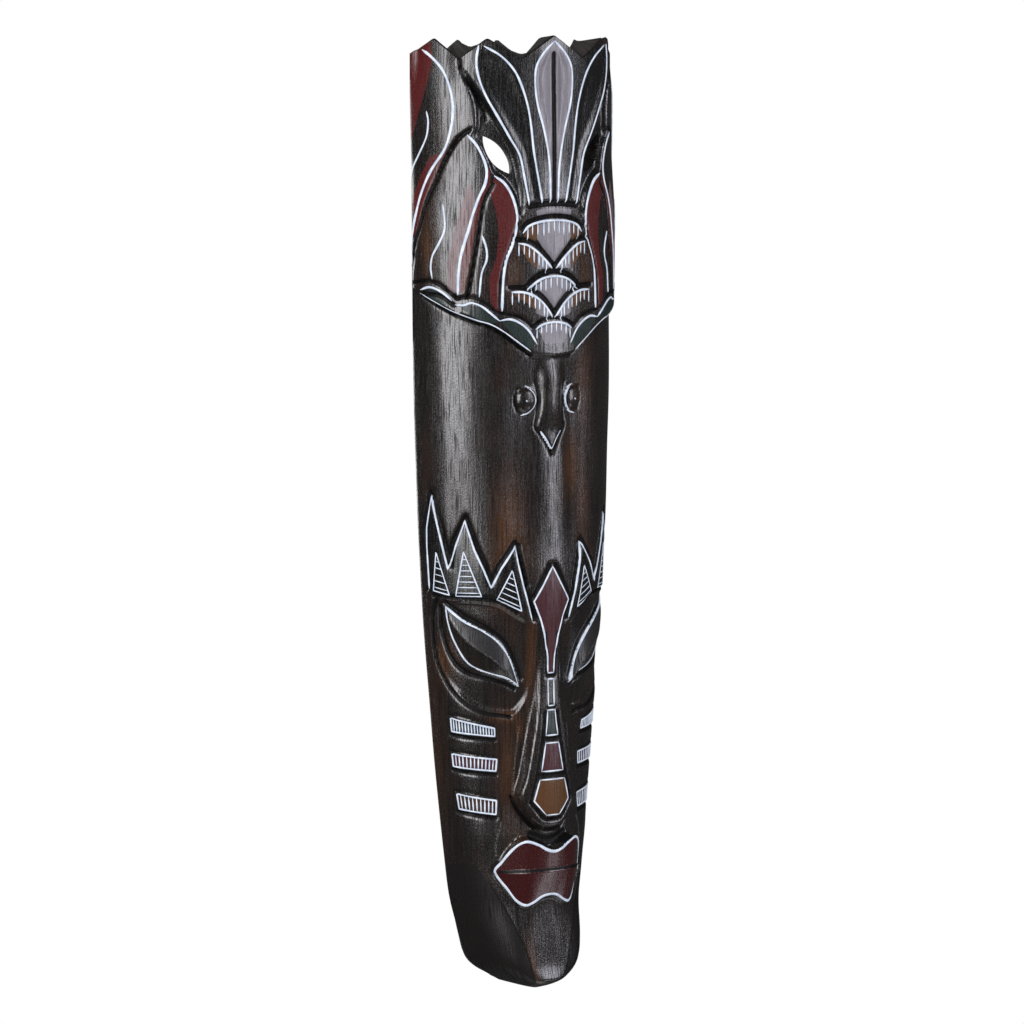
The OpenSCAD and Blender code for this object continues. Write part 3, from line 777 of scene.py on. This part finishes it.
def bead(path, width, seed, closed=False):
    """One brushed line as a low rounded bead: its points and faces."""
    d = np.gradient(path, axis=0)
    d /= np.maximum(np.linalg.norm(d, axis=1), 1e-6)[:, None]
    side = np.stack([-d[:, 1], d[:, 0]], -1)
    length = np.concatenate([[0], np.cumsum(np.linalg.norm(np.diff(path, axis=0), axis=1))])
    half = width / 2 * (1 + 0.1 * np.sin(length / 5.1 + seed) + 0.07 * np.sin(length / 1.9 + 2 * seed))
    if not closed:
        ends = np.minimum(length, length[-1] - length)
        half *= 0.35 + 0.65 * smooth(-0.4, min(3.0, length[-1] / 3), ends)
    rows = []
    for across, lift in CROSS:
        at = path + side * (half * across)[:, None]
        rows.append(front(at[:, 0], at[:, 1], lift * min(1, (width / 1.3) ** 1.5)))
    points = np.stack(rows, 1).reshape(-1, 3)
    n, m = len(path), len(CROSS)
    faces = []
    for i in range(n if closed else n - 1):
        j = (i + 1) % n
        faces += [(i * m + k, j * m + k, j * m + k + 1, i * m + k + 1) for k in range(m - 1)]
        faces.append((i * m + m - 1, j * m + m - 1, j * m, i * m))
    if not closed:
        faces += [tuple(range(m)), tuple(range((n - 1) * m, n * m))[::-1]]
    return points, faces


def line_piece(name, strokes):
    """Strokes of (points, width, closed, straight) joined as one raised piece."""
    points, faces = [], []
    count = 0
    for k, (path, width, closed, straight) in enumerate(strokes):
        run = spline(path, 0.8, closed, straight)
        if closed:
            run = run[:-1]
        p, f = bead(run, width, 1.3 * k, closed)
        points.append(p)
        faces += [tuple(i + count for i in face) for face in f]
        count += len(p)
    obj = mesh_object(name, np.vstack(points), faces, None)
    repair_normals(obj.data)
    return obj


def strokes(paths, width, closed=False, straight=False, paired=True):
    return [(side, width, closed, straight) for side in (both(paths) if paired else paths)]


def ticks(arc, count, length, width, start=0.06, end=0.94):
    """Short upright strokes hanging from an arc."""
    run = spline(arc, 0.5)
    out = []
    for k in range(count):
        s, z = run[int((start + (end - start) * k / (count - 1)) * (len(run) - 1))]
        drop = length * (0.85 + 0.3 * math.sin(2.3 * k + 1) ** 2)
        out.append(([(s, z - 0.3), (s, z - drop / 2), (s, z - drop)], width, False, True))
    return out


def hatches(corners, count):
    """Strokes across a triangle, parallel to its foot."""
    (x0, z0), (x1, z1), (x2, z2) = corners
    out = []
    for k in range(1, count + 1):
        f = (k + 0.4) / (count + 1)
        out.append([(x0 + (x1 - x0) * f, z0 + (z1 - z0) * f), (x0 + (x2 - x0) * f, z0 + (z2 - z0) * f)])
    return out


def rungs(corners, count):
    (x0, z0), (x1, z1), (x2, z2), (x3, z3) = corners
    out = []
    for k in range(1, count):
        f = k / count
        out.append([(x0 + (x3 - x0) * f, z0 + (z3 - z0) * f), (x1 + (x2 - x1) * f, z1 + (z2 - z1) * f)])
    return out


def make_lines():
    crown = strokes([FLAME_A, FLAME_B, FLAME_C], 1.75) + strokes([WISP_A, WISP_B, WISP_C], 1.3)
    leaves = strokes([LEAF_OUT, LEAF_IN, MIDDLE_LEAF], 1.45)
    scales = strokes([SCALE_1, SCALE_3, SCALE_5], 1.45, paired=False) + strokes([SCALE_2, SCALE_4], 1.45)
    scales += ticks(SCALE_1, 11, 6.5, 0.9, 0.1, 0.9) + ticks(SCALE_3, 10, 6, 0.9, 0.1, 0.9) + ticks(SCALE_5, 8, 5, 0.9)
    for arc, count in ((SCALE_2, 7), (SCALE_4, 8)):
        for side in both([arc]):
            scales += ticks(side, count, 6.2, 0.9, 0.03, 0.8)
    garland = strokes([GARLAND_1, GARLAND_2, GARLAND_3], 1.4) + strokes([GARLAND_LOW], 0.8)
    bird = strokes([BIRD_EYE], 1.3) + strokes([BEAK], 1.35, paired=False)
    bird += [([(s, 311.9), (s + 0.7, 311.2)], 1.3, False, True) for s in (-16.2, 15.5)]
    zigzag = strokes([ZIGZAG], 1.25, straight=True)
    for corners, count in ((TRIANGLE_1, 5), (TRIANGLE_2, 7), (TRIANGLE_3, 5)):
        zigzag += strokes([corners], 0.85, closed=True, straight=True)
        zigzag += strokes(hatches(corners, count), 0.65, straight=True)
    nose = strokes([DIAMOND], 1.15, straight=True)
    for shape in (DIAMOND[-1:], STRIP, NECK, PLUM_BAND, LOZENGE):
        if len(shape) > 1:
            nose += strokes([shape], 1.0, straight=True)
            ends = (shape[0], shape[-1])
        else:
            ends = shape
        for s, z in ends:
            nose += strokes([[(s, z), (0, z), (-s, z)]], 1.0, straight=True, paired=False)
    eyes = strokes([UPPER_LID, LOWER_LID], 1.35)
    cheeks = []
    for corners, count in LADDERS:
        cheeks += strokes([corners], 1.15, closed=True, straight=True)
        cheeks += strokes(rungs(corners, count), 0.92, straight=True)
    lips = strokes([LIPS], 1.75, closed=True, paired=False)
    parts = {"crown_flame_lines": crown, "leaf_lines": leaves, "scale_lines": scales, "garland_lines": garland,
             "bird_lines": bird, "zigzag_lines": zigzag, "nose_lines": nose, "eye_lines": eyes,
             "cheek_ladder_lines": cheeks, "lip_line": lips}
    return [line_piece(name, drawn) for name, drawn in parts.items()]


# ---------------------------------------------------------------- materials

def new_material(name):
    mat = bpy.data.materials.new(name)
    mat.use_nodes = True
    nodes, links = mat.node_tree.nodes, mat.node_tree.links
    return mat, nodes, links, nodes["Principled BSDF"]


def attribute(nodes, name):
    node = nodes.new("ShaderNodeAttribute")
    node.attribute_name = name
    return node


def noise(nodes, links, vector, stretch, scale, detail=3.0, roughness=0.55):
    """A noise texture on a stretched copy of the vector."""
    shape = nodes.new("ShaderNodeMapping")
    shape.inputs["Scale"].default_value = stretch
    links.new(vector, shape.inputs["Vector"])
    tex = nodes.new("ShaderNodeTexNoise")
    tex.inputs["Scale"].default_value = scale
    tex.inputs["Detail"].default_value = detail
    tex.inputs["Roughness"].default_value = roughness
    links.new(shape.outputs["Vector"], tex.inputs["Vector"])
    return tex.outputs["Fac"]


def ramp(nodes, links, value, low, high, out_low=0.0, out_high=1.0, smoothed=True):
    node = nodes.new("ShaderNodeMapRange")
    node.interpolation_type = "SMOOTHSTEP" if smoothed else "LINEAR"
    for key, number in (("From Min", low), ("From Max", high), ("To Min", out_low), ("To Max", out_high)):
        node.inputs[key].default_value = number
    links.new(value, node.inputs["Value"])
    return node.outputs["Result"]


def maths(nodes, links, kind, a, b):
    node = nodes.new("ShaderNodeMath")
    node.operation = kind
    for socket, value in ((node.inputs[0], a), (node.inputs[1], b)):
        if isinstance(value, (int, float)):
            socket.default_value = value
        else:
            links.new(value, socket)
    return node.outputs[0]


def mix(nodes, links, factor, a, b):
    """Colour a where factor is 0 and b where it is 1."""
    node = nodes.new("ShaderNodeMix")
    node.data_type = "RGBA"
    links.new(factor, node.inputs[0])
    for socket, value in ((node.inputs[6], a), (node.inputs[7], b)):
        if isinstance(value, tuple):
            socket.default_value = (*value, 1)
        else:
            links.new(value, socket)
    return node.outputs[2]


def wood_material():
    mat, nodes, links, shader = new_material("painted_wood")
    where = attribute(nodes, "unrolled").outputs["Vector"]
    streak = noise(nodes, links, where, (0.9, 0.03, 1), 1.0, 4)
    pores = noise(nodes, links, where, (1.9, 0.06, 1), 1.0, 3)
    speckle = noise(nodes, links, where, (1.5, 0.9, 1), 1.0, 2, 0.6)
    cloud = noise(nodes, links, where, (0.06, 0.03, 1), 1.0, 3)
    base = mix(nodes, links, ramp(nodes, links, streak, 0.35, 0.7), (0.0045, 0.0036, 0.0034), (0.0135, 0.0098, 0.0088))
    base = mix(nodes, links, ramp(nodes, links, cloud, 0.45, 0.75), base, (0.017, 0.0095, 0.0065))
    rub = attribute(nodes, "rub").outputs["Fac"]
    wear = maths(nodes, links, "MULTIPLY", rub, ramp(nodes, links, streak, 0.3, 0.62, 0.25, 1.25))
    colour = mix(nodes, links, wear, base, (0.066, 0.024, 0.006))
    wobble = ramp(nodes, links, noise(nodes, links, where, (1, 1, 1), 0.5, 2), 0, 1, -0.3, 0.3, False)
    matt = sealed = None
    for name, tone in PAINTS.items():
        depth = maths(nodes, links, "ADD", attribute(nodes, name).outputs["Fac"], wobble)
        cover = ramp(nodes, links, depth, -0.22, 0.22)
        # Painted edge highlights are broken up by speckle; the other paints thin out at open pores
        fade = (speckle, 0.42, 0.62, 0.0, 0.45) if name == "painted_edge_highlight" else (pores, 0.25, 0.5, 0.72, 1.0)
        worn = maths(nodes, links, "MULTIPLY", cover, ramp(nodes, links, *fade))
        colour = mix(nodes, links, worn, colour, tone)
        if name in MATT_PAINTS:
            dull = maths(nodes, links, "MULTIPLY", cover, MATT_PAINTS[name])
            matt = dull if matt is None else maths(nodes, links, "MAXIMUM", matt, dull)
        if name == "lip":
            sealed = cover
    back = attribute(nodes, "back").outputs["Fac"]
    raw = mix(nodes, links, ramp(nodes, links, streak, 0.3, 0.75), (0.022, 0.019, 0.018), (0.05, 0.043, 0.039))
    colour = mix(nodes, links, ramp(nodes, links, back, 0.35, 0.75), colour, raw)
    links.new(colour, shader.inputs["Base Color"])
    # 0 in an open pore, 1 on closed grain
    closed = maths(nodes, links, "MAXIMUM", ramp(nodes, links, pores, 0.37, 0.5), sealed)
    polish = maths(nodes, links, "ADD", ramp(nodes, links, speckle, 0.38, 0.66, 0.12, 0.32),
                   ramp(nodes, links, closed, 0, 1, 0.3, 0, False))
    polish = maths(nodes, links, "ADD", polish, ramp(nodes, links, matt, 0, 1, 0, 0.25, False))
    coat = maths(nodes, links, "MULTIPLY", ramp(nodes, links, matt, 0, 1, 0.6, 0, False),
                 ramp(nodes, links, closed, 0, 1, 0.3, 1, False))
    links.new(coat, shader.inputs["Coat Weight"])
    shine = maths(nodes, links, "MULTIPLY", ramp(nodes, links, matt, 0, 1, 1, 0.25, False),
                  ramp(nodes, links, closed, 0, 1, 0.3, 0.95, False))
    links.new(shine, shader.inputs["Specular IOR Level"])
    polish = maths(nodes, links, "ADD", polish, ramp(nodes, links, back, 0.4, 0.8, 0.0, 0.3))
    links.new(polish, shader.inputs["Roughness"])
    grain = maths(nodes, links, "ADD", ramp(nodes, links, pores, 0.28, 0.5, -0.8, 0.0),
                  ramp(nodes, links, speckle, 0.3, 0.7, -0.35, 0.35))
    grain = maths(nodes, links, "ADD", grain, ramp(nodes, links, streak, 0.3, 0.7, -0.3, 0.3))
    bump = nodes.new("ShaderNodeBump")
    bump.inputs["Strength"].default_value = 0.6
    bump.inputs["Distance"].default_value = 0.00009
    links.new(grain, bump.inputs["Height"])
    links.new(bump.outputs["Normal"], shader.inputs["Normal"])
    shader.inputs["Coat Roughness"].default_value = 0.16
    return mat


def line_material():
    mat, nodes, links, shader = new_material("white_line_paint")
    where = nodes.new("ShaderNodeTexCoord").outputs["Object"]
    cloud = noise(nodes, links, where, (1, 1, 1), 260, 3)
    fine = noise(nodes, links, where, (1, 1, 1), 1400, 2)
    colour = mix(nodes, links, ramp(nodes, links, cloud, 0.35, 0.65), (0.5, 0.58, 0.7), (0.7, 0.76, 0.84))
    links.new(colour, shader.inputs["Base Color"])
    links.new(ramp(nodes, links, fine, 0.3, 0.7, 0.38, 0.6), shader.inputs["Roughness"])
    bump = nodes.new("ShaderNodeBump")
    bump.inputs["Strength"].default_value = 0.35
    bump.inputs["Distance"].default_value = 0.00015
    links.new(fine, bump.inputs["Height"])
    links.new(bump.outputs["Normal"], shader.inputs["Normal"])
    return mat


def metal_material(name, dark, light, rough):
    mat, nodes, links, shader = new_material(name)
    where = nodes.new("ShaderNodeTexCoord").outputs["Object"]
    brushed = noise(nodes, links, where, (1, 1, 0.06), 2600, 3)
    cloud = noise(nodes, links, where, (1, 1, 1), 190, 3)
    links.new(mix(nodes, links, ramp(nodes, links, cloud, 0.35, 0.7), dark, light), shader.inputs["Base Color"])
    links.new(ramp(nodes, links, brushed, 0.3, 0.7, rough, rough + 0.16), shader.inputs["Roughness"])
    shader.inputs["Metallic"].default_value = 1.0
    bump = nodes.new("ShaderNodeBump")
    bump.inputs["Strength"].default_value = 0.3
    bump.inputs["Distance"].default_value = 0.00005
    links.new(brushed, bump.inputs["Height"])
    links.new(bump.outputs["Normal"], shader.inputs["Normal"])
    return mat


def floor_material():
    mat, nodes, links, shader = new_material("pale_floor")
    where = nodes.new("ShaderNodeTexCoord").outputs["Object"]
    cloud = noise(nodes, links, where, (1, 1, 1), 2.0, 2)
    links.new(mix(nodes, links, cloud, (0.86, 0.86, 0.86), (0.9, 0.9, 0.9)), shader.inputs["Base Color"])
    shader.inputs["Roughness"].default_value = 0.8
    return mat


# ---------------------------------------------------------------- camera, lights and floor

VIEW_AZIMUTH, VIEW_RISE = math.radians(-35), math.radians(5.7)
VIEW_DISTANCE = 2.83
FOCAL = 189.0
AIM = Vector((0, HIGH[1] - 6.5 * MM, (LOW[2] + HIGH[2]) / 2))


def direction(azimuth, rise):
    """Unit vector from the object towards something seen at that azimuth and height."""
    return Vector((math.sin(azimuth) * math.cos(rise), -math.cos(azimuth) * math.cos(rise), math.sin(rise)))


def make_camera():
    data = bpy.data.cameras.new("camera")
    data.lens, data.sensor_width = FOCAL, 36.0
    data.clip_start, data.clip_end = 0.05, 50
    cam = bpy.data.objects.new("camera", data)
    back = direction(VIEW_AZIMUTH, VIEW_RISE)
    cam.location = AIM + back * VIEW_DISTANCE
    cam.rotation_mode = "QUATERNION"
    cam.rotation_quaternion = (-back).to_track_quat("-Z", "Y")
    bpy.context.scene.collection.objects.link(cam)
    bpy.context.scene.camera = cam


def softbox(name, azimuth, rise, away, width, height, power, tint):
    data = bpy.data.lights.new(name, "AREA")
    data.color = tint
    data.shape, data.size, data.size_y, data.energy = "RECTANGLE", width, height, power
    lamp = bpy.data.objects.new(name, data)
    back = direction(math.radians(azimuth), math.radians(rise))
    lamp.location = AIM + back * away
    lamp.rotation_mode = "QUATERNION"
    lamp.rotation_quaternion = (-back).to_track_quat("-Z", "Y")
    bpy.context.scene.collection.objects.link(lamp)


def make_world():
    world = bpy.data.worlds.new("studio")
    world.use_nodes = True
    nodes, links = world.node_tree.nodes, world.node_tree.links
    path = nodes.new("ShaderNodeLightPath")
    sky = nodes["Background"]
    sky.inputs["Color"].default_value = (1, 1, 1, 1)
    glossy = ramp(nodes, links, path.outputs["Is Glossy Ray"], 0, 1, 0.5, 0.045, False)
    seen = nodes.new("ShaderNodeMix")
    links.new(path.outputs["Is Camera Ray"], seen.inputs[0])
    links.new(glossy, seen.inputs[2])
    seen.inputs[3].default_value = 1.0
    links.new(seen.outputs[0], sky.inputs["Strength"])
    bpy.context.scene.world = world


def make_stage():
    make_camera()
    make_world()
    softbox("left_softbox", -58, 15, 1.5, 1.2, 1.3, 22, (0.98, 0.97, 1.0))
    softbox("right_strip", 36, 15, 1.6, 0.5, 1.3, 9.5, (0.92, 0.91, 1.0))
    softbox("low_right_box", 36, -36, 1.6, 0.5, 0.6, 1.5, (0.94, 0.92, 1.0))
    softbox("rear_box", 190, 6, 1.8, 0.8, 1.0, 7, (1.0, 1.0, 1.0))
    size, drop = 0.9, 1.6
    z = LOW[2] - drop
    steps = 12
    axis = np.linspace(-size, size, steps + 1)
    points = [(x, y, z) for y in axis for x in axis]
    faces = [(j * (steps + 1) + i, j * (steps + 1) + i + 1, (j + 1) * (steps + 1) + i + 1, (j + 1) * (steps + 1) + i)
             for j in range(steps) for i in range(steps)]
    floor = mesh_object("floor", points, faces, None)
    floor.data.materials.append(floor_material())
    bpy.context.scene.view_settings.view_transform = "Standard"


# ---------------------------------------------------------------- assembly

def finish_node(name, material):
    """Gives a CAD node that stays its own material."""
    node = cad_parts[name]
    node.data.materials.clear()
    node.data.materials.append(material)


make_stage()
mask = make_mask()
mask.data.materials.append(wood_material())
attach(mask, "mask")
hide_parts("mask_body")
white = line_material()
for piece in make_lines():
    piece.data.materials.append(white)
    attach(piece, "mask")
steel = metal_material("zinc_steel", (0.42, 0.43, 0.44), (0.62, 0.63, 0.64), 0.28)
finish_node("hanger_strap", steel)
finish_node("hanger_ring", steel)
brass = metal_material("yellow_zinc", (0.55, 0.4, 0.16), (0.75, 0.6, 0.3), 0.25)
finish_node("strap_screw_upper", brass)
finish_node("strap_screw_lower", brass)
